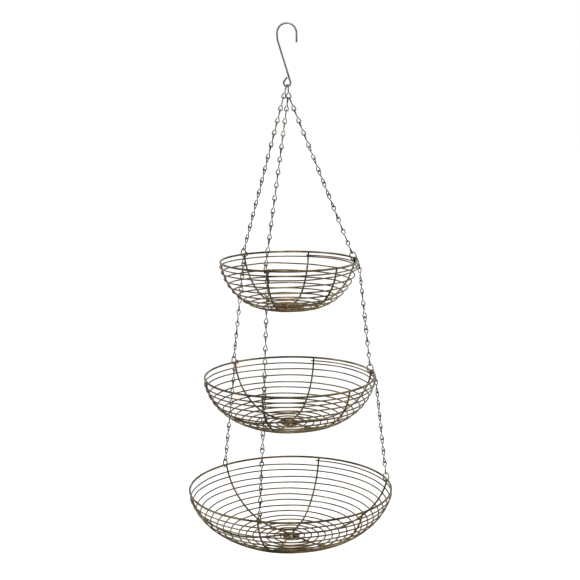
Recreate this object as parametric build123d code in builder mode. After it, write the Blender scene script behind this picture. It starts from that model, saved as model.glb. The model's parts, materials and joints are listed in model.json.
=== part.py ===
from build123d import *
import os
from math import asin, atan2, cos, degrees, pi, radians, sin, sqrt

# A hanging fruit basket: three wire bowls, one above another, on three chains that meet at one hook.
# The origin is the point inside the hook's crook that rests on a rail. +Z is up, and the hook lies in XZ.

# Wires, by diameter
hook_wire = 2.6
top_link_wire = 1.7
chain_wire = 1.5
rim_link_wire = 1.7
rim_wire = 3.0
rib_wire = 2.6
coil_wire = 2.0

# Clearances and welds
seat_gap = 0.3  # between two wires, one of which hangs on the other
end_gap = 0.4  # between a wire's cut end and the strand that it closes against
weld_sink = 0.25  # how far two welded wires bite into each other

# Hook, measured to the middle of its wire
hook_height = 86.6
crook_radius = 13.5
crook_tip_drop = 26.0  # from the top of the crook down to the cut tip
stem_lean = 17.0  # degrees off the vertical
stem_bend_radius = 32.0
eye_radius = 4.8
eye_close_angle = 52.0  # degrees from straight up, where the eye's wire leaves its round part

# Chain links: figure-eight links of bent wire, whose two loops stand at right angles
link_height = 20.25  # between the middles of a link's two end wires
link_radius = 2.7
waist_radius = 3.0
upper_links = 14  # from the hook's eye, with the top link or the left top link as the first
lower_links = 9  # from one rim to the next, with the first link on the upper rim
first_link_lean = 46.0  # degrees, how far a first link's upper loop leans in over the coil

# Top link: a wider figure-eight link in the hook's eye that gathers the front and right chains
top_link_upper_radius = 2.8
top_link_lower_radius = 3.4
top_pull_share = 1 / 3  # how far it leans from the front chain's line towards the right one's

# Rim links: ovals that join each chain to a basket's rim
rim_link_height = 11.9
rim_link_radius = 4.3
rim_side_gap = 1.2  # between the end of a rib and the wire of a link beside it
front_side_gap = 0.4  # the same at the front chain, whose links stand close together

# Baskets: outside width, depth from the rim to the ribs, the wall's lean at the rim, and how far each of
# the coil's first turns falls along the wall. The turns after them fall by coil_pitch.
baskets = {
    "small": {"width": 198.6, "depth": 65.0, "lean": 8.0, "falls": (2.0, 11.5)},
    "medium": {"width": 249.4, "depth": 69.0, "lean": 8.0, "falls": (4.7, 8.6, 10.4, 11.0, 9.5, 12.0)},
    "large": {
        "width": 300.0,
        "depth": 73.5,
        "lean": 14.0,
        "falls": (7.8, 8.4, 10.6, 9.6, 11.1, 10.5, 11.0, 10.8, 12.5, 12.7),
    },
}
shoulder_angle = 48.0  # degrees off the vertical, where the wall's two arcs meet
flat_share = 0.3  # of the rim's radius, the flat middle of the bottom
coil_start_drop = 5.4  # along the wall, from the rim to the start of the coil
coil_pitch = 10.4
coil_tight_radius = 13.0  # where the coil's turns close up at the middle of the bottom
coil_tight_pitch = 2.3
coil_end_radius = 3.2
coil_corners = 16  # corners in one turn of the coil's path, each rounded off
coil_round_share = 0.9  # of the coil's own radius, the radius that rounds a corner

# Directions seen from above, in degrees from +X towards +Y
chain_turn = 12.3
chain_turns = {"left": chain_turn + 120, "front": chain_turn + 240, "right": chain_turn}
rib_turns = {"rib_1": chain_turn, "rib_2": chain_turn + 60, "rib_3": chain_turn + 120}
coil_turn = chain_turn + 62

# How far each chain is twisted over its length, in degrees, and how far it wavers on the way
twists = {
    ("small", "left"): (chain_turn + 30, 0),
    ("small", "front"): (chain_turn - 30, 0),
    ("small", "right"): (chain_turn - 90, 0),
    ("medium", "left"): (0, 35),
    ("medium", "front"): (0, 40),
    ("medium", "right"): (180, 0),
    ("large", "left"): (0, -30),
    ("large", "front"): (180, 0),
    ("large", "right"): (0, 45),
}

# Sizes worked out from those above
link_half = link_height / 2
link_pitch = link_height - chain_wire - seat_gap
rim_hang = (rim_wire + chain_wire) / 2 + seat_gap  # a first link's top wire above the rim's middle
rim_grip = (rim_wire + rim_link_wire) / 2 + seat_gap  # a rim link's bottom wire below the rim's middle
last_hang = (chain_wire + rim_link_wire) / 2 + seat_gap  # a rim link's top wire above the last link's end
rim_rise = rim_link_height - rim_grip
eye_z = hook_wire / 2 - hook_height
side_step = (rib_wire + rim_link_wire) / 2 + rim_side_gap
front_step = (rib_wire + rim_link_wire) / 2 + front_side_gap
pair_step = front_step + (rim_link_wire + chain_wire) / 2 + front_side_gap

# How far along the rim, anticlockwise from the end of the rib, each chain's rim link stands, and then the
# first link of the chain below it
rim_steps = {
    ("small", "left"): (side_step, -side_step),
    ("small", "front"): (-front_step, front_step),
    ("small", "right"): (side_step, -side_step),
    ("medium", "left"): (side_step, -side_step),
    ("medium", "front"): (front_step, pair_step),
    ("medium", "right"): (side_step, -side_step),
    ("large", "left"): (side_step, None),
    ("large", "front"): (front_step, None),
    ("large", "right"): (side_step, None),
}


def rim_radius(name):
    return (baskets[name]["width"] - rim_wire) / 2


def around(radius, turn, z):
    return Vector(radius * cos(radians(turn)), radius * sin(radians(turn)), z)


def rim_turn(name, chain, step):
    return chain_turns[chain] + degrees(step / rim_radius(name))


# Where the wire of a chain's rim link crosses the rim
def rim_point(name, chain, z):
    return around(rim_radius(name), rim_turn(name, chain, rim_steps[name, chain][0]), z)


def cross_section(path):
    return Plane(origin=path @ 0, z_dir=path % 0)


def save(builder, name):
    os.makedirs("parts", exist_ok=True)
    builder.part.label = name
    export_step(builder.part, f"parts/{name}.step")
    print(name, len(builder.part.solids()), round(builder.part.volume, 1))


# Hook: one wire, bent into a crook, a leaning stem and a closed eye
def make_hook():
    lean = radians(stem_lean)
    close = radians(eye_close_angle)
    crook_z = hook_wire / 2 - crook_radius
    tip_z = hook_wire / 2 - crook_tip_drop
    eye_middle = eye_z + eye_radius
    stem_end = (eye_radius * cos(lean), eye_middle + eye_radius * sin(lean))
    stem_run = (stem_end[0] + crook_radius) / sin(lean)
    stem_corner = (-crook_radius, stem_end[1] + stem_run * cos(lean))
    eye_exit = (-eye_radius * sin(close), eye_middle + eye_radius * cos(close))
    # The straight end stops where its cut edge is end_gap short of the stem's surface
    closing = (eye_radius - hook_wire / 2) * (1 + sin(close - lean)) - end_gap
    closing_run = closing / cos(close - lean)
    eye_end = (eye_exit[0] + closing_run * cos(close), eye_exit[1] + closing_run * sin(close))
    with BuildLine(Plane.XZ) as line:
        Line((crook_radius, tip_z), (crook_radius, crook_z))
        ThreePointArc((crook_radius, crook_z), (0, hook_wire / 2), (-crook_radius, crook_z))
        FilletPolyline((-crook_radius, crook_z), stem_corner, stem_end, radius=stem_bend_radius)
        ThreePointArc(stem_end, (0, eye_z), eye_exit)
        Line(eye_exit, eye_end)
    path = line.wire()
    with BuildPart() as hook:
        with BuildSketch(cross_section(path)):
            Circle(hook_wire / 2)
        sweep(path=path)
    return hook


# A figure-eight link, with its waist at the origin. The lower loop hangs down in XZ. The upper loop stands
# in YZ and may lean towards +Y. Each of the wire's two ends stops short of the waist.
def make_link(wire, upper_radius, lower_radius, lean=0):
    up = Vector(0, sin(radians(lean)), cos(radians(lean)))
    side = Vector(0, cos(radians(lean)), -sin(radians(lean)))
    down = Vector(0, 0, -1)
    across = Vector(1, 0, 0)

    def strand(along, sideways, radius, length=None):
        reach = link_half - radius
        angle = asin(radius / reach)
        if length is None:
            length = sqrt(reach**2 - radius**2)
        return (along * cos(angle) + sideways * sin(angle)) * length

    def cut(radius):
        opening = 2 * asin(radius / (link_half - radius))
        return (wire / 2 * (1 + cos(opening)) + end_gap) / sin(opening)

    with BuildLine() as line:
        Line(strand(up, side, upper_radius, cut(upper_radius)), strand(up, side, upper_radius))
        ThreePointArc(strand(up, side, upper_radius), up * link_half, strand(up, -side, upper_radius))
        FilletPolyline(
            strand(up, -side, upper_radius),
            (0, 0, 0),
            strand(down, across, lower_radius),
            radius=waist_radius,
        )
        ThreePointArc(
            strand(down, across, lower_radius),
            down * link_half,
            strand(down, -across, lower_radius),
        )
        Line(
            strand(down, -across, lower_radius),
            strand(down, -across, lower_radius, cut(lower_radius)),
        )
    path = line.wire()
    with BuildPart() as link:
        with BuildSketch(cross_section(path)):
            Circle(wire / 2)
        sweep(path=path)
    return link


# A rim link, with the middle of its top wire at the origin: an oval in YZ, with a thin cut in one side
def make_rim_link():
    low = rim_link_radius - rim_link_height
    middle = -rim_link_height / 2
    with BuildLine(Plane.YZ) as line:
        Line((rim_link_radius, middle - end_gap / 2), (rim_link_radius, low))
        ThreePointArc((rim_link_radius, low), (0, -rim_link_height), (-rim_link_radius, low))
        Line((-rim_link_radius, low), (-rim_link_radius, -rim_link_radius))
        ThreePointArc((-rim_link_radius, -rim_link_radius), (0, 0), (rim_link_radius, -rim_link_radius))
        Line((rim_link_radius, -rim_link_radius), (rim_link_radius, middle + end_gap / 2))
    path = line.wire()
    with BuildPart() as link:
        with BuildSketch(cross_section(path)):
            Circle(rim_link_wire / 2)
        sweep(path=path)
    return link


def make_rim(name, height):
    with BuildPart() as rim:
        with BuildSketch(Plane.XZ):
            with Locations((rim_radius(name), height)):
                Circle(rim_wire / 2)
        revolve(axis=Axis.Z)
    return rim


# The wall's section is two tangent arcs and a flat. Their radii follow from the basket's width and depth.
def wall_radii(name):
    lean = radians(baskets[name]["lean"])
    shoulder = radians(shoulder_angle)
    inward = rim_radius(name) * (1 - flat_share)
    fall = baskets[name]["depth"] - rim_wire / 2 + weld_sink
    upper = (cos(lean) - cos(shoulder), sin(shoulder) - sin(lean))
    lower = (cos(shoulder), 1 - sin(shoulder))
    spread = upper[0] * lower[1] - lower[0] * upper[1]
    upper_radius = (inward * lower[1] - lower[0] * fall) / spread
    lower_radius = (upper[0] * fall - upper[1] * inward) / spread
    return upper_radius, lower_radius


# A rib: one wire from the underside of the rim, down and across the bottom, and up to the rim again
def make_rib(name, height, turn):
    lean = baskets[name]["lean"]
    upper_radius, lower_radius = wall_radii(name)
    top = height - rim_wire / 2 + weld_sink
    start = (rim_radius(name), top)
    flat = rim_radius(name) * flat_share
    heading = (-sin(radians(lean)), -cos(radians(lean)))
    upright = Plane(origin=(0, 0, 0), x_dir=around(1, turn, 0), z_dir=around(1, turn - 90, 0))
    with BuildLine(upright) as line:
        wall = JernArc(start, heading, upper_radius, lean - shoulder_angle)
        turn_in = JernArc(wall @ 1, wall % 1, lower_radius, shoulder_angle - 90)
        bottom = height - baskets[name]["depth"]
        Line((flat, bottom), (-flat, bottom))
        turn_out = JernArc((-flat, bottom), (-1, 0), lower_radius, shoulder_angle - 90)
        JernArc(turn_out @ 1, turn_out % 1, upper_radius, lean - shoulder_angle)
    path = line.wire()
    with BuildPart() as rib:
        with BuildSketch(cross_section(path)):
            Circle(rib_wire / 2)
        sweep(path=path)
    return rib


# A point of the coil's section line, which runs outside the ribs: how far out and how far below the rim
def coil_place(name, run):
    lean = radians(baskets[name]["lean"])
    shoulder = radians(shoulder_angle)
    upper_radius, lower_radius = wall_radii(name)
    outside = (rib_wire + coil_wire) / 2 - weld_sink
    upper_out = upper_radius + outside
    lower_out = lower_radius + outside
    upper_run = upper_out * (shoulder - lean)
    lower_run = lower_out * (pi / 2 - shoulder)
    middle = rim_radius(name) - upper_radius * cos(lean)
    drop = rim_wire / 2 - weld_sink - upper_radius * sin(lean)
    if run < upper_run:
        angle = lean + run / upper_out
        return middle + upper_out * cos(angle), drop + upper_out * sin(angle)
    middle += (upper_radius - lower_radius) * cos(shoulder)
    drop += (upper_radius - lower_radius) * sin(shoulder)
    if run < upper_run + lower_run:
        angle = shoulder + (run - upper_run) / lower_out
        return middle + lower_out * cos(angle), drop + lower_out * sin(angle)
    return middle - (run - upper_run - lower_run), drop + lower_out


# The coil: one wire that winds down the wall and in across the bottom, clockwise seen from above
def make_coil(name, height):
    corners = []
    radii = []
    run = coil_start_drop - rim_wire / 2
    turn = coil_turn
    step = 360 / coil_corners
    while True:
        radius, drop = coil_place(name, run)
        if radius < coil_end_radius:
            break
        corners.append(around(radius / cos(pi / coil_corners), turn, height - drop))
        radii.append(radius * coil_round_share)
        turns = (len(corners) - 1) // coil_corners
        pitch = coil_pitch
        if radius < coil_tight_radius:
            pitch = coil_tight_pitch
        elif turns < len(baskets[name]["falls"]):
            pitch = baskets[name]["falls"][turns]
        run += pitch / coil_corners
        turn -= step
    with BuildLine() as line:
        FilletPolyline(*corners, radius=radii[1:-1])
    path = line.wire()
    with BuildPart() as coil:
        with BuildSketch(cross_section(path)):
            Circle(coil_wire / 2)
        sweep(path=path)
    return coil


# Copies of one link, each with its place
def place_links(link, places):
    with BuildPart() as chain:
        with Locations(*places):
            add(link.part)
    return chain


# A link's place: its waist, the direction up along the chain, and the way its lower loop faces
def link_place(waist, line, facing):
    return Location(Plane(origin=waist, x_dir=around(1, facing, 0), z_dir=-line))


# The places of a run's links, from the waist of the first one to the rim's middle, turning on the way
def run_places(count, first, rim_middle, facing, twist, waver):
    line = (rim_middle - first).normalized()
    ends = link_half - last_hang + rim_rise
    pitch = ((rim_middle - first).length - ends) / (count - 1)
    places = []
    for index in range(count):
        share = index / (count - 1)
        eased = share**2 * (3 - 2 * share)
        turned = facing + twist * eased + waver * sin(pi * share)
        places.append(link_place(first + line * pitch * index, line, turned))
    return places


# A rim link's place: the middle of its top wire, with its oval upright and in line with the basket's axis
def rim_link_place(first, rim_middle, turn):
    line = (rim_middle - first).normalized()
    return Location(
        Plane(origin=rim_middle - line * rim_rise, x_dir=around(1, turn + 90, 0), z_dir=-line)
    )


# Upper tier: two first links side by side in the hook's eye. Each hangs in line with its pull, so its top
# wire stands above the eye's wire by a rise along that line.
left_rise = (hook_wire + chain_wire) / 2 + seat_gap
top_rise = (hook_wire + top_link_wire) / 2 + seat_gap
upper_line = upper_links * link_pitch + chain_wire + seat_gap - last_hang + rim_rise - left_rise
left_aim = rim_point("small", "left", 0)
front_aim = rim_point("small", "front", 0)
right_aim = rim_point("small", "right", 0)
top_aim = front_aim + (right_aim - front_aim) * top_pull_share
eye_parting = (top_link_wire + chain_wire) / 2 + seat_gap
eye_parting += (top_aim.X * top_rise - left_aim.X * left_rise) / upper_line
eye_spread = asin(eye_parting / 2 / eye_radius)
eye_side = Vector(eye_radius * sin(eye_spread), 0, 0)
eye_low = Vector(0, 0, eye_z + eye_radius * (1 - cos(eye_spread)))
left_out = left_aim + eye_side
rim_z = {"small": eye_low.Z - sqrt(upper_line**2 - left_out.length**2)}
left_line = (rim_point("small", "left", rim_z["small"]) - eye_low + eye_side).normalized()
left_start = eye_low - eye_side - left_line * left_rise
top_aim.Z = rim_z["small"]
top_line = (top_aim - eye_low - eye_side).normalized()
top_start = eye_low + eye_side - top_line * top_rise

# The front and right chains sit side by side in the bottom of the top link
top_bottom = top_start + top_line * link_height
fan_seat = top_link_lower_radius - (top_link_wire + chain_wire) / 2 - seat_gap
fan_spread = asin((chain_wire + seat_gap) / 2 / fan_seat)
top_plane = Plane(origin=top_start, x_dir=(1, 0, 0), z_dir=-top_line)
fan_middle = top_bottom - top_line * top_link_lower_radius
fan_starts = {
    "front": fan_middle + (top_line * cos(fan_spread) - top_plane.x_dir * sin(fan_spread)) * fan_seat,
    "right": fan_middle + (top_line * cos(fan_spread) + top_plane.x_dir * sin(fan_spread)) * fan_seat,
}

# Lower tiers: where each first link's waist stands, and how far down the next rim hangs
lower_line = link_half + (lower_links - 1) * link_pitch - last_hang + rim_rise


def first_waist(name, chain):
    lean = radians(first_link_lean)
    reach = link_half - rim_hang
    turn = rim_turn(name, chain, rim_steps[name, chain][1])
    return around(rim_radius(name) + reach * sin(lean), turn, rim_z[name] - reach * cos(lean))


for above, below in (("small", "medium"), ("medium", "large")):
    waist = first_waist(above, "right")
    out = rim_point(below, "right", waist.Z) - waist
    rim_z[below] = waist.Z - sqrt(lower_line**2 - out.length**2)

# Every piece is made and saved
save(make_hook(), "hook")
chain_link = make_link(chain_wire, link_radius, link_radius)
top_link = make_link(top_link_wire, top_link_upper_radius, top_link_lower_radius)
rim_link = make_rim_link()
save(place_links(top_link, [link_place(top_start + top_line * link_half, top_line, 0)]), "top_link")

for chain, turn in chain_turns.items():
    middle = rim_point("small", chain, rim_z["small"])
    start = left_start if chain == "left" else fan_starts[chain]
    count = upper_links if chain == "left" else upper_links - 1
    first = start + (middle - start).normalized() * link_half
    places = run_places(count, first, middle, 0, *twists["small", chain])
    if chain == "left":
        save(place_links(chain_link, places[:1]), "left_top_link")
        places = places[1:]
    save(place_links(chain_link, places), f"upper_{chain}_chain")
    save(place_links(rim_link, [rim_link_place(first, middle, turn)]), f"small_{chain}_rim_link")

for above, below, tier in (("small", "medium", "middle"), ("medium", "large", "lower")):
    for chain, turn in chain_turns.items():
        waist = first_waist(above, chain)
        middle = rim_point(below, chain, rim_z[below])
        line = (middle - waist).normalized()
        line_lean = degrees(atan2(sqrt(line.X**2 + line.Y**2), -line.Z))
        first_link = make_link(chain_wire, link_radius, link_radius, first_link_lean - line_lean)
        places = run_places(lower_links, waist, middle, turn + 90, *twists[below, chain])
        save(place_links(first_link, places[:1]), f"{tier}_{chain}_first_link")
        save(place_links(chain_link, places[1:2]), f"{tier}_{chain}_second_link")
        if chain == "left":
            save(place_links(chain_link, places[2:-1]), f"{tier}_{chain}_chain")
            save(place_links(chain_link, places[-1:]), f"{tier}_{chain}_end_link")
        else:
            save(place_links(chain_link, places[2:]), f"{tier}_{chain}_chain")
        save(place_links(rim_link, [rim_link_place(waist, middle, turn)]), f"{below}_{chain}_rim_link")

for name, height in rim_z.items():
    save(make_rim(name, height), f"{name}_rim")
    for rib, turn in rib_turns.items():
        save(make_rib(name, height, turn), f"{name}_{rib}")
    save(make_coil(name, height), f"{name}_coil")
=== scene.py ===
import json
from math import cos, degrees, pi, radians, sin
from random import Random

import bmesh
import bpy
from mathutils import Matrix, Vector, noise

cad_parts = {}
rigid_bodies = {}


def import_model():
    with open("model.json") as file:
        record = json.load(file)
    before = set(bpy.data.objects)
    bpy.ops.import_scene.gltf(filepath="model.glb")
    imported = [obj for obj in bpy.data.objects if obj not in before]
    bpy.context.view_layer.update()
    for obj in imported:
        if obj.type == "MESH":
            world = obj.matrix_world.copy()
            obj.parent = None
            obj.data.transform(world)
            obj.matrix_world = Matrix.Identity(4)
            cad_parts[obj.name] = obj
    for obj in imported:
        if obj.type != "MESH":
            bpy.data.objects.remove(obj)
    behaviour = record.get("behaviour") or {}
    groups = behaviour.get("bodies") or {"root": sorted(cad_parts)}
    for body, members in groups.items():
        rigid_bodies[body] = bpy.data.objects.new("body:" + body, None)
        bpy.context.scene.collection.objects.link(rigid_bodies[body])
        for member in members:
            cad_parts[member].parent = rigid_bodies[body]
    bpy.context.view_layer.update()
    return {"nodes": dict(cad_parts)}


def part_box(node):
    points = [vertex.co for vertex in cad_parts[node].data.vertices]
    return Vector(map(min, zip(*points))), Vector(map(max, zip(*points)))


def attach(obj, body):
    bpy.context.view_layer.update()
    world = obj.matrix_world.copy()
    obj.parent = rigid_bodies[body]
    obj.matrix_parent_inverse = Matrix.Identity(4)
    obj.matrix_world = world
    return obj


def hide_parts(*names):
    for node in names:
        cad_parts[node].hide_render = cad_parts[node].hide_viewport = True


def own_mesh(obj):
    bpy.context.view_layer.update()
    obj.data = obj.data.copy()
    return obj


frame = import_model()
nodes = frame["nodes"]
mm = 0.001

# camera, floor and lamps

photoView = {
    "place": (1.6, -1728.0, -74.3),  # mm from the point that the hook rests on
    "tiltDown": 9.84,                # degrees
    "roll": 0.47,
    "focalPixels": 1220,
    "imagePixels": 580,
    "sensor": 36.0,
    "clip": (0.05, 200),             # metres
}


def makeCamera():
    data = bpy.data.cameras.new("camera")
    data.sensor_width = photoView["sensor"]
    data.lens = photoView["focalPixels"] * photoView["sensor"] / photoView["imagePixels"]
    data.clip_start, data.clip_end = photoView["clip"]
    camera = bpy.data.objects.new("camera", data)
    bpy.context.collection.objects.link(camera)
    tilt = Matrix.Rotation(radians(90 - photoView["tiltDown"]), 4, "X")
    roll = Matrix.Rotation(radians(-photoView["roll"]), 4, "Z")
    camera.matrix_world = Matrix.Translation(Vector(photoView["place"]) * mm) @ tilt @ roll
    bpy.context.scene.camera = camera


stageLook = {
    "floorHeight": -1.95,            # metres
    "floorReach": 30.0,
    "floorColour": (0.80, 0.80, 0.79, 1),
    "floorRoughness": 0.9,
    "floorSpecular": 0.1,
    "lifts": (0.12, 0.80),           # light of its own, for the camera and reflections, near and far off
    "liftRadii": (1.4, 3.2),         # metres, between which the first lift grows to the second
    "ambient": 0.34,
    "roomLevel": 0.12,               # what the wires reflect of the room on the camera's side
    "roomSpan": (-0.2, 0.35),        # where that side gives way to the white backdrop
    "white": (1, 1, 1, 1),
    "lampAim": (0, 0, -0.4),
}

lampLooks = {
    "keyLamp": {"place": (-0.05, -1.6, 1.1), "size": (1.0, 0.9), "power": 40, "colour": (1.0, 0.96, 0.89)},
    "leftLamp": {"place": (-1.9, -0.5, 0.6), "size": (0.5, 1.4), "power": 13, "colour": (1.0, 0.98, 0.94)},
    "rightLamp": {"place": (1.9, -0.3, 0.5), "size": (0.5, 1.4), "power": 13, "colour": (1.0, 0.98, 0.94)},
    "backLamp": {"place": (0.3, 1.6, 1.3), "size": (1.6, 0.5), "power": 18, "colour": (1.0, 0.98, 0.94)},
}


class Wiring:
    # Short ways to add and join the nodes of one material or world

    def __init__(self, holder):
        holder.use_nodes = True
        self.holder = holder
        self.tree = holder.node_tree

    @property
    def shader(self):
        return self.tree.nodes["Principled BSDF"]

    def join(self, source, target):
        if hasattr(source, "is_output"):
            self.tree.links.new(source, target)
        else:
            target.default_value = source

    def objectPlace(self):
        return self.tree.nodes.new("ShaderNodeTexCoord").outputs["Object"]

    def math(self, operation, first, second=0.0):
        node = self.tree.nodes.new("ShaderNodeMath")
        node.operation = operation
        self.join(first, node.inputs[0])
        self.join(second, node.inputs[1])
        return node.outputs[0]

    def mapped(self, vector, scale=(1, 1, 1), turn=0.0, shift=(0, 0, 0)):
        node = self.tree.nodes.new("ShaderNodeMapping")
        self.join(vector, node.inputs["Vector"])
        node.inputs["Location"].default_value = shift
        node.inputs["Rotation"].default_value = (0, 0, turn)
        node.inputs["Scale"].default_value = scale
        return node.outputs[0]

    def noise(self, vector, scale, detail, roughness):
        node = self.tree.nodes.new("ShaderNodeTexNoise")
        self.join(vector, node.inputs["Vector"])
        node.inputs["Scale"].default_value = scale
        node.inputs["Detail"].default_value = detail
        node.inputs["Roughness"].default_value = roughness
        return node.outputs["Fac"]

    def between(self, value, low, high, outLow=0.0, outHigh=1.0):
        node = self.tree.nodes.new("ShaderNodeMapRange")
        node.interpolation_type = "SMOOTHSTEP"
        self.join(value, node.inputs["Value"])
        ends = {"From Min": low, "From Max": high, "To Min": outLow, "To Max": outHigh}
        for label, given in ends.items():
            self.join(given, node.inputs[label])
        return node.outputs["Result"]

    def anyRay(self, rays):
        # 1 for the named kinds of ray, else 0
        path = self.tree.nodes.new("ShaderNodeLightPath")
        total = path.outputs[rays[0]]
        for ray in rays[1:]:
            total = self.math("MAXIMUM", total, path.outputs[ray])
        return total

    def mixed(self, share, first, second):
        node = self.tree.nodes.new("ShaderNodeMix")
        node.data_type = "RGBA"
        self.join(share, node.inputs["Factor"])
        for label, colour in (("A", first), ("B", second)):
            socket = [item for item in node.inputs if item.name == label and item.type == "RGBA"][0]
            self.join((*colour, 1) if isinstance(colour, tuple) else colour, socket)
        return [item for item in node.outputs if item.type == "RGBA"][0]

    def bump(self, height, distance, strength, after=None):
        node = self.tree.nodes.new("ShaderNodeBump")
        node.inputs["Strength"].default_value = strength
        node.inputs["Distance"].default_value = distance
        self.join(height, node.inputs["Height"])
        if after is not None:
            self.join(after, node.inputs["Normal"])
        return node.outputs["Normal"]


seenRays = ("Is Camera Ray", "Is Glossy Ray", "Is Transmission Ray")


def makeFloor():
    mesh = bpy.data.meshes.new("floor")
    bm = bmesh.new()
    bmesh.ops.create_grid(bm, x_segments=1, y_segments=1, size=stageLook["floorReach"])
    bmesh.ops.translate(bm, verts=bm.verts, vec=(0, 0, stageLook["floorHeight"]))
    bm.to_mesh(mesh)
    bm.free()
    ground = bpy.data.objects.new("floor", mesh)
    bpy.context.collection.objects.link(ground)
    made = Wiring(bpy.data.materials.new("palePaper"))
    shader = made.shader
    shader.inputs["Base Color"].default_value = stageLook["floorColour"]
    shader.inputs["Roughness"].default_value = stageLook["floorRoughness"]
    shader.inputs["Specular IOR Level"].default_value = stageLook["floorSpecular"]
    shader.inputs["Emission Color"].default_value = stageLook["white"]
    reach = made.tree.nodes.new("ShaderNodeVectorMath")
    reach.operation = "LENGTH"
    made.join(made.mapped(made.objectPlace(), (1, 1, 0)), reach.inputs[0])  # without the height
    level = made.between(reach.outputs["Value"], *stageLook["liftRadii"], *stageLook["lifts"])
    made.join(made.math("MULTIPLY", made.anyRay(seenRays), level), shader.inputs["Emission Strength"])
    mesh.materials.append(made.holder)


def makeWorld():
    # The paper backdrop hangs behind the basket, so reflections are white on that side and dim on the other
    made = Wiring(bpy.data.worlds.new("studio"))
    background = made.tree.nodes["Background"]
    background.inputs["Color"].default_value = stageLook["white"]
    direction = made.tree.nodes.new("ShaderNodeSeparateXYZ")
    made.join(made.tree.nodes.new("ShaderNodeTexCoord").outputs["Generated"], direction.inputs[0])
    reflected = made.between(direction.outputs["Y"], *stageLook["roomSpan"], stageLook["roomLevel"], 1.0)
    mirrored = made.between(made.anyRay(seenRays[1:]), 0.0, 1.0, stageLook["ambient"], reflected)
    seen = made.between(made.anyRay(seenRays[:1]), 0.0, 1.0, mirrored, 1.0)
    made.join(seen, background.inputs["Strength"])
    bpy.context.scene.world = made.holder


def makeLamps():
    aim = Vector(stageLook["lampAim"])
    for name, look in lampLooks.items():
        data = bpy.data.lights.new(name, "AREA")
        data.shape = "RECTANGLE"
        data.size, data.size_y = look["size"]
        data.energy = look["power"]
        data.color = look["colour"]
        lamp = bpy.data.objects.new(name, data)
        lamp.location = look["place"]
        lamp.rotation_euler = (aim - Vector(look["place"])).to_track_quat("-Z", "Y").to_euler()
        bpy.context.collection.objects.link(lamp)


makeCamera()
makeFloor()
makeWorld()
makeLamps()
bpy.context.scene.view_settings.view_transform = "Standard"
print("stage ready")

# finishes: bronze plating on drawn steel wire, with painted highlights and reflections in its colour

# each look's light colour is a painted highlight: cream patches, partly rubbed plating, that stand in for
# lamps and backdrop shining on the wire
finishLooks = {
    "basketWire": {
        "deep": (0.028, 0.021, 0.011), "body": (0.108, 0.086, 0.047), "warm": (0.18, 0.112, 0.052),
        "light": (0.29, 0.25, 0.15), "worn": (0.45, 0.385, 0.24), "wornShare": 0.34, "wear": 0.6,
        "roughness": 0.25,
    },
    "chainWire": {
        "deep": (0.028, 0.026, 0.021), "body": (0.088, 0.083, 0.066), "warm": (0.12, 0.103, 0.070),
        "light": (0.22, 0.21, 0.165), "worn": (0.40, 0.375, 0.29), "wornShare": 0.36, "wear": 0.6,
        "roughness": 0.28,
    },
    "linkWire": {
        "deep": (0.036, 0.026, 0.014), "body": (0.13, 0.098, 0.056), "warm": (0.22, 0.145, 0.074),
        "light": (0.33, 0.265, 0.165), "worn": (0.50, 0.41, 0.26), "wornShare": 0.40, "wear": 0.6,
        "roughness": 0.25,
    },
    "hookWire": {
        "deep": (0.060, 0.057, 0.048), "body": (0.18, 0.175, 0.152), "warm": (0.22, 0.20, 0.16),
        "light": (0.38, 0.37, 0.32), "worn": (0.54, 0.52, 0.45), "wornShare": 0.42, "wear": 0.35,
        "roughness": 0.24,
    },
    "weldMark": {
        "deep": (0.024, 0.018, 0.010), "body": (0.080, 0.063, 0.036), "warm": (0.15, 0.095, 0.048),
        "light": (0.20, 0.165, 0.10), "worn": (0.34, 0.28, 0.18), "wornShare": 0.25, "wear": 0.6,
        "roughness": 0.42,
    },
}


# Scales count a pattern's features in a metre, and spans say between which values of its noise it fades in
patternLook = {
    "lineStretch": 18.0, "lineFineness": 4200.0, "freeFineness": 1500.0,  # lines that drawing left
    "lineSpan": (0.42, 0.66), "lineShare": 0.35,
    "patinaAndReflectionScale": 34.0, "patinaAndReflectionSpan": (0.36, 0.62),    # cloudy plating a few centimetres across, partly patina and partly painted dark and bright reflections
    # the lighter patches below are partly rubbed plating and partly painted highlights
    "warmScale": 21.0, "warmSpan": (0.46, 0.70), "warmShift": (3.1, 1.7, 0.4),
    "wearAndHighlightScale": 15.0, "wearAndHighlightSpan": (0.50, 0.68), "wearAndHighlightShare": 0.8, "wearAndHighlightShift": (0.7, 4.2, 2.6),
    "middleSpan": (0.095, 0.030), "middleShare": 0.85,   # warmer plating, in metres from a bowl's axis
    "speckleScale": 620.0, "speckleSpan": (-0.08, 0.12),
    "dullPatina": 0.12, "dullSpeckle": 0.1, "dullSpan": (0.32, 0.70),  # added to the roughness
    "lineDepth": 0.00004, "lineStrength": 0.5,
    "speckleDepth": 0.00008, "speckleStrength": 0.45,
    "lineNoise": (3.0, 0.6), "patinaAndReflectionNoise": (4.0, 0.6), "speckleNoise": (5.0, 0.65),  # detail, roughness
    "warmNoise": (3.0, 0.5), "wearAndHighlightNoise": (3.0, 0.6),
}


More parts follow.
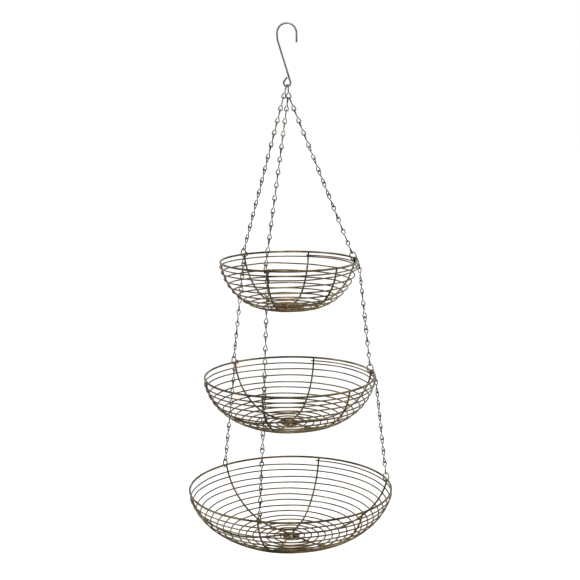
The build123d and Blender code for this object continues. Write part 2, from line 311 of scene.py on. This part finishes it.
def wireFinish(name, look, grain="free", turn=0.0, warmMiddle=False):
    # grain says which way the drawing lines run: round the basket (ring), in an upright plane (upright)
    # or no way in particular (free), and warmMiddle needs ring
    colours = finishLooks[look]
    made = Wiring(bpy.data.materials.new(name))
    place = made.objectPlace()
    split = made.tree.nodes.new("ShaderNodeSeparateXYZ")
    pattern = patternLook
    fine, stretch = pattern["lineFineness"], pattern["lineStretch"]
    if grain == "ring":
        made.join(place, split.inputs[0])
        squares = [made.math("POWER", split.outputs[axis], 2.0) for axis in (0, 1)]
        flat = made.math("SQRT", made.math("ADD", *squares))
        across = made.math("ADD", flat, split.outputs[2])
        along = made.tree.nodes.new("ShaderNodeCombineXYZ")
        made.join(made.math("MULTIPLY", split.outputs[0], stretch), along.inputs[0])
        made.join(made.math("MULTIPLY", split.outputs[1], stretch), along.inputs[1])
        made.join(made.math("MULTIPLY", across, fine), along.inputs[2])
        lines = made.noise(along.outputs[0], 1.0, *pattern["lineNoise"])
    elif grain == "upright":
        turned = made.mapped(place, (stretch, fine, stretch), -turn)
        lines = made.noise(turned, 1.0, *pattern["lineNoise"])
    else:
        lines = made.noise(place, pattern["freeFineness"], *pattern["lineNoise"])

    # painted reflection: clouds a few centimetres across swing the colour between deep and body, partly
    # patina and partly the dark room and bright lamps mirrored in the wire
    patinaAndReflection = made.noise(place, pattern["patinaAndReflectionScale"], *pattern["patinaAndReflectionNoise"])
    speckle = made.noise(place, pattern["speckleScale"], *pattern["speckleNoise"])
    patinaAndReflectionClouds = made.mixed(made.between(patinaAndReflection, *pattern["patinaAndReflectionSpan"]), colours["deep"], colours["body"])
    moved = made.mapped(place, shift=pattern["warmShift"])
    warmth = made.noise(moved, pattern["warmScale"], *pattern["warmNoise"])
    tinted = made.mixed(made.between(warmth, *pattern["warmSpan"]), patinaAndReflectionClouds, colours["warm"])
    # painted highlights: noise patches of the light colour, partly rubbed plating, stand in for lamp and
    # backdrop shine
    moved = made.mapped(place, shift=pattern["wearAndHighlightShift"])
    wearAndHighlight = made.noise(moved, pattern["wearAndHighlightScale"], *pattern["wearAndHighlightNoise"])
    wearAndHighlight = made.between(wearAndHighlight, *pattern["wearAndHighlightSpan"], 0.0, pattern["wearAndHighlightShare"])
    tinted = made.mixed(wearAndHighlight, tinted, colours["light"])
    if warmMiddle:
        inner = made.between(flat, *pattern["middleSpan"], 0.0, pattern["middleShare"])
        tinted = made.mixed(inner, tinted, colours["warm"])
    drawn = made.between(lines, *pattern["lineSpan"], 0.0, pattern["lineShare"])
    lined = made.mixed(drawn, tinted, colours["deep"])
    edges = [1 - colours["wornShare"] + part for part in pattern["speckleSpan"]]
    flecks = made.between(speckle, *edges, 0.0, colours["wear"])
    made.join(made.mixed(flecks, lined, colours["worn"]), made.shader.inputs["Base Color"])
    made.shader.inputs["Metallic"].default_value = 1.0
    dull = made.between(patinaAndReflection, *pattern["dullSpan"], pattern["dullPatina"], 0.0)
    rough = made.math("ADD", dull, colours["roughness"])
    rough = made.math("ADD", rough, made.between(speckle, *pattern["dullSpan"], pattern["dullSpeckle"], 0.0))
    made.join(rough, made.shader.inputs["Roughness"])
    relief = made.bump(lines, pattern["lineDepth"], pattern["lineStrength"])
    relief = made.bump(speckle, pattern["speckleDepth"], pattern["speckleStrength"], relief)
    made.join(relief, made.shader.inputs["Normal"])
    return made.holder


def paint(node, material):
    for holder in nodes[node].material_slots:
        holder.material = material


chainFinish = wireFinish("chainWire", "chainWire")
linkFinish = wireFinish("linkWire", "linkWire")
hookFinish = wireFinish("hookWire", "hookWire", "upright")
rimFinish = wireFinish("rimWire", "basketWire", "ring")
coilFinish = wireFinish("coilWire", "basketWire", "ring", warmMiddle=True)
weldFinish = wireFinish("weldMark", "weldMark")
ribTurns = {"rib_1": 12.3, "rib_2": 72.3, "rib_3": 132.3}
ribFinishes = {
    rib: wireFinish(f"{rib}Wire", "basketWire", "upright", radians(turn)) for rib, turn in ribTurns.items()
}

for name in nodes:
    if name.endswith("_coil"):
        paint(name, coilFinish)
    elif name.endswith("_rim"):
        paint(name, rimFinish)
    elif name[-5:] in ribFinishes:
        paint(name, ribFinishes[name[-5:]])
    elif name == "hook":
        paint(name, hookFinish)
    elif name.endswith("rim_link") or name == "top_link":
        paint(name, linkFinish)
    else:
        paint(name, chainFinish)
print("finishes ready")


def placePiece(name, mesh, body, material):
    # A finished piece: its mesh holds its place, and it moves with one body
    mesh.materials.clear()
    mesh.materials.append(material)
    piece = bpy.data.objects.new(name, mesh)
    bpy.context.collection.objects.link(piece)
    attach(piece, body)
    return piece


# hook tip: the cut end of the hook's wire is rounded off

hookTip = {"out": 13.5, "height": -24.7, "radius": 1.29, "crown": 0.45, "rounds": 24}


def makeHookTip():
    bm = bmesh.new()
    rounds, radius = hookTip["rounds"], hookTip["radius"] * mm
    made = bmesh.ops.create_uvsphere(bm, u_segments=rounds, v_segments=rounds // 2, radius=radius)
    crown = hookTip["crown"] / hookTip["radius"]
    bmesh.ops.scale(bm, verts=made["verts"], vec=(1, 1, crown))
    bmesh.ops.translate(bm, verts=made["verts"], vec=Vector((hookTip["out"], 0, hookTip["height"])) * mm)
    mesh = bpy.data.meshes.new("hook_tip")
    bm.to_mesh(mesh)
    bm.free()
    mesh.shade_smooth()
    placePiece("hook_tip", mesh, "hook", hookFinish)


makeHookTip()
print("hook tip rounded")


# coils: the wire of each bowl is wound by hand, so its turns are a little uneven between the ribs

bowls = {
    "small": {"width": 198.6, "depth": 65.0, "lean": 8.0, "falls": (2.0, 11.5), "seed": 2.0},
    "medium": {
        "width": 249.4, "depth": 69.0, "lean": 8.0, "seed": 7.0,
        "falls": (4.7, 8.6, 10.4, 11.0, 9.5, 12.0),
    },
    "large": {
        "width": 300.0, "depth": 73.5, "lean": 14.0, "seed": 12.0,
        "falls": (7.8, 8.4, 10.6, 9.6, 11.1, 10.5, 11.0, 10.8, 12.5, 12.7),
    },
}

winding = {
    "wire": 2.0, "ribWire": 2.6, "rimWire": 3.0, "weldSink": 0.25,
    "shoulder": 48.0, "flatShare": 0.3,
    "startDrop": 5.4, "startTurn": 74.3, "pitch": 10.4,
    "tightRadius": 13.0, "tightPitch": 2.3, "endRadius": 3.2,
    "steps": 72,          # in one turn
    "waverShare": 0.17,   # of the pitch, times a noise: how far a turn strays up or down between ribs
    "waverSpot": (1.2, 0.8),  # how fast that noise changes round a turn, and from turn to turn
    "flatten": 0.35,      # how far the wire sinks in between two ribs
    "flattenFade": 3,     # the sinking fades out where a turn's radius is under the bowl's width over this
    "holdPower": 1.4,     # how firmly the ribs hold the wire near them
    "rounding": 4,        # bevel resolution of the wire's section
    "merge": 0.001,
    "sharpAngle": 50,     # degrees, above which an edge of any wire stays sharp
}


def outwardAt(angle):
    return Vector((cos(angle), sin(angle), 0))


def rimRadiusOf(bowl):
    return (bowl["width"] - winding["rimWire"]) / 2


def rimLine(name):
    # The height and the radius of a rim wire's middle
    low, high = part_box(f"{name}_rim")
    return (low[2] + high[2]) / 2 / mm, rimRadiusOf(bowls[name])


def coilPlace(bowl, run):
    # How far out and how far below the rim the coil's middle is, and which way the wall faces there
    lean, shoulder = radians(bowl["lean"]), radians(winding["shoulder"])
    rimRadius = rimRadiusOf(bowl)
    inward = rimRadius * (1 - winding["flatShare"])
    fall = bowl["depth"] - winding["rimWire"] / 2 + winding["weldSink"]
    upper = (cos(lean) - cos(shoulder), sin(shoulder) - sin(lean))
    lower = (cos(shoulder), 1 - sin(shoulder))
    spread = upper[0] * lower[1] - lower[0] * upper[1]
    upperRadius = (inward * lower[1] - lower[0] * fall) / spread
    lowerRadius = (upper[0] * fall - upper[1] * inward) / spread
    outside = (winding["ribWire"] + winding["wire"]) / 2 - winding["weldSink"]
    upperOut, lowerOut = upperRadius + outside, lowerRadius + outside
    upperRun, lowerRun = upperOut * (shoulder - lean), lowerOut * (pi / 2 - shoulder)
    middle = rimRadius - upperRadius * cos(lean)
    drop = winding["rimWire"] / 2 - winding["weldSink"] - upperRadius * sin(lean)
    if run < upperRun:
        facing = lean + run / upperOut
        return middle + upperOut * cos(facing), drop + upperOut * sin(facing), facing
    middle += (upperRadius - lowerRadius) * cos(shoulder)
    drop += (upperRadius - lowerRadius) * sin(shoulder)
    if run < upperRun + lowerRun:
        facing = shoulder + (run - upperRun) / lowerOut
        return middle + lowerOut * cos(facing), drop + lowerOut * sin(facing), facing
    return middle - (run - upperRun - lowerRun), drop + lowerOut, pi / 2


def windCoil(name):
    # Every step of the coil: its turn, its middle, and the wall's directions there
    bowl = bowls[name]
    rimHeight, _ = rimLine(name)
    up = Vector((0, 0, 1))
    around, rise = winding["waverSpot"]
    run = winding["startDrop"] - winding["rimWire"] / 2
    steps = []
    while True:
        radius, drop, facing = coilPlace(bowl, run)
        if radius < winding["endRadius"]:
            return steps
        turns = len(steps) // winding["steps"]
        pitch = winding["pitch"]
        if radius < winding["tightRadius"]:
            pitch = winding["tightPitch"]
        elif turns < len(bowl["falls"]):
            pitch = bowl["falls"][turns]
        angle = radians(winding["startTurn"] - len(steps) * 360 / winding["steps"])
        hold = abs(sin(len(ribTurns) * (angle - radians(ribTurns["rib_1"])))) ** winding["holdPower"]
        turned = len(steps) / winding["steps"]
        spot = Vector((cos(angle) * around, sin(angle) * around, turned * rise + bowl["seed"]))
        stray = noise.noise(spot) * hold * pitch * winding["waverShare"]
        sink = hold * winding["flatten"] * min(1, radius / bowl["width"] * winding["flattenFade"])
        outward = outwardAt(angle)
        wallOut = outward * cos(facing) - up * sin(facing)
        wallDown = -outward * sin(facing) - up * cos(facing)
        middle = outward * radius + up * (rimHeight - drop) + wallDown * stray - wallOut * sink
        steps.append((degrees(angle), middle, wallOut, wallDown))
        run += pitch / winding["steps"]


def bentWire(points, wire):
    # A round wire along these points, as a mesh with flat cut ends
    line = bpy.data.curves.new("wireLine", "CURVE")
    line.dimensions = "3D"
    line.bevel_depth = wire / 2 * mm
    line.bevel_resolution = winding["rounding"]
    line.use_fill_caps = True
    spline = line.splines.new("POLY")
    spline.points.add(len(points) - 1)
    for point, place in zip(spline.points, points):
        point.co = (*(place * mm), 1)
    holder = bpy.data.objects.new("wireLine", line)
    bpy.context.collection.objects.link(holder)
    view = bpy.context.evaluated_depsgraph_get()
    mesh = bpy.data.meshes.new_from_object(holder.evaluated_get(view))
    bpy.data.objects.remove(holder)
    bpy.data.curves.remove(line)
    bm = bmesh.new()
    bm.from_mesh(mesh)
    bmesh.ops.remove_doubles(bm, verts=bm.verts, dist=winding["merge"] * mm)
    bmesh.ops.recalc_face_normals(bm, faces=bm.faces)
    bm.to_mesh(mesh)
    bm.free()
    mesh.shade_smooth()
    mesh.set_sharp_from_angle(angle=radians(winding["sharpAngle"]))
    return mesh


coilSteps = {name: windCoil(name) for name in bowls}
for name, steps in coilSteps.items():
    mesh = bentWire([step[1] for step in steps], winding["wire"])
    piece = placePiece(f"{name}_winding", mesh, f"{name}_basket", coilFinish)
    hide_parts(f"{name}_coil")
    print(name, "coil wound,", len(mesh.polygons), "faces")


# welds: a small nugget wherever two wires of a bowl are joined

weldLook = {
    "crossing": (1.25, 1.2, 0.75),  # along the coil, along the rib, and through
    "ribEnd": (1.45, 1.4, 0.75),
    "rimJoint": (2.6, 1.5, 1.5),
    "rimJointTurn": 205.0,
    "middle": (2.6, 2.6, 1.3),
    "uneven": 0.14,
    "unevenScale": 0.9,
    "spin": 0.3,          # radians, how far a nugget may be turned
    "crossingDepth": 0.1,  # mm that a crossing's nugget has its middle inside the coil wire's surface
    "ribEndRise": 0.15,
    "middleDrop": 0.2,
    "rounds": 8,          # segments of a nugget, and of the two larger ones
    "largeRounds": 16,
    "seed": 5,
}


def addNugget(bm, chance, middle, axes, sizes, rounds):
    sizes = [size * (1 + chance.uniform(-1, 1) * weldLook["uneven"]) for size in sizes]
    frameOf = Matrix([list(axis) for axis in axes]).transposed().to_4x4()
    stretch = Matrix.Diagonal((*sizes, 1))
    spin = Matrix.Rotation(chance.uniform(-weldLook["spin"], weldLook["spin"]), 4, "Z")
    place = Matrix.Translation(middle) @ frameOf @ spin @ stretch
    made = bmesh.ops.create_uvsphere(bm, u_segments=rounds, v_segments=rounds - 2, radius=1, matrix=place)
    for vertex in made["verts"]:
        away = vertex.co - middle
        vertex.co += away * noise.noise(vertex.co * weldLook["unevenScale"]) * weldLook["uneven"]


def makeWelds(name):
    bowl, steps = bowls[name], coilSteps[name]
    chance = Random(weldLook["seed"])
    rimHeight, rimRadius = rimLine(name)
    up = Vector((0, 0, 1))
    rounds, largeRounds = weldLook["rounds"], weldLook["largeRounds"]
    bm = bmesh.new()
    for (turn, middle, wallOut, wallDown), (nextTurn, nextMiddle, _, _) in zip(steps, steps[1:]):
        for ribTurn in ribTurns.values():
            share = ((turn - ribTurn) % 180) / (turn - nextTurn)
            if share < 1:
                inset = winding["wire"] / 2 - weldLook["crossingDepth"]
                crossing = middle.lerp(nextMiddle, share) - wallOut * inset
                axes = ((nextMiddle - middle).normalized(), wallDown, wallOut)
                addNugget(bm, chance, crossing, axes, weldLook["crossing"], rounds)
    for ribTurn in [turn + half for turn in ribTurns.values() for half in (0, 180)]:
        outward = outwardAt(radians(ribTurn))
        end = outward * rimRadius + up * (rimHeight - winding["rimWire"] / 2 + weldLook["ribEndRise"])
        addNugget(bm, chance, end, (up.cross(outward), outward, up), weldLook["ribEnd"], rounds)
    bottom = up * (rimHeight - bowl["depth"] - weldLook["middleDrop"])
    axes = (Vector((1, 0, 0)), Vector((0, 1, 0)), up)
    addNugget(bm, chance, bottom, axes, weldLook["middle"], largeRounds)
    outward = outwardAt(radians(weldLook["rimJointTurn"]))
    joint = outward * rimRadius + up * rimHeight
    addNugget(bm, chance, joint, (up.cross(outward), outward, up), weldLook["rimJoint"], largeRounds)
    bmesh.ops.scale(bm, verts=bm.verts, vec=(mm, mm, mm))
    bmesh.ops.recalc_face_normals(bm, faces=bm.faces)
    mesh = bpy.data.meshes.new(f"{name}_welds")
    bm.to_mesh(mesh)
    bm.free()
    mesh.shade_smooth()
    placePiece(f"{name}_welds", mesh, f"{name}_basket", weldFinish)
    return len(mesh.polygons)


for name in bowls:
    print(name, "welds,", makeWelds(name), "faces")


# chains: each run of links, with every link turned a little on the chain's own line

chainLook = {
    "twist": 9.0,  # degrees, how far a link may be turned on the chain's own line
    "seed": 21,
    "merge": 0.002,
}


def islandsOf(bm):
    # The separate links in one mesh, walked in the mesh's own order, so that each run sums them alike
    left, islands = dict.fromkeys(bm.verts), []
    while left:
        stack, island = [next(iter(left))], []
        del left[stack[0]]
        while stack:
            vertex = stack.pop()
            island.append(vertex)
            for edge in vertex.link_edges:
                other = edge.other_vert(vertex)
                if other in left:
                    del left[other]
                    stack.append(other)
        islands.append(island)
    return islands


def makeRun(node, chance):
    bm = bmesh.new()
    bm.from_mesh(nodes[node].data)
    bmesh.ops.remove_doubles(bm, verts=bm.verts, dist=chainLook["merge"] * mm)
    islands = islandsOf(bm)
    middles = [sum((vertex.co for vertex in island), Vector()) / len(island) for island in islands]
    order = sorted(range(len(islands)), key=lambda number: -middles[number].z)
    line = (middles[order[0]] - middles[order[-1]]).normalized()
    for number in order:
        turn = Matrix.Rotation(radians(chance.uniform(-1, 1) * chainLook["twist"]), 3, line)
        bmesh.ops.rotate(bm, verts=islands[number], cent=middles[number], matrix=turn)
    mesh = bpy.data.meshes.new(f"{node}_links")
    bm.to_mesh(mesh)
    bm.free()
    mesh.shade_smooth()
    mesh.set_sharp_from_angle(angle=radians(winding["sharpAngle"]))
    body = nodes[node].parent.name.split(":", 1)[1]
    piece = placePiece(f"{node}_links", mesh, body, chainFinish)
    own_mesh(piece)
    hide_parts(node)


chance = Random(chainLook["seed"])
for tier, joint in (("upper", "lift_small"), ("middle", "lift_medium"), ("lower", "lift_large")):
    for side in ("left", "front", "right"):
        makeRun(f"{tier}_{side}_chain", chance)
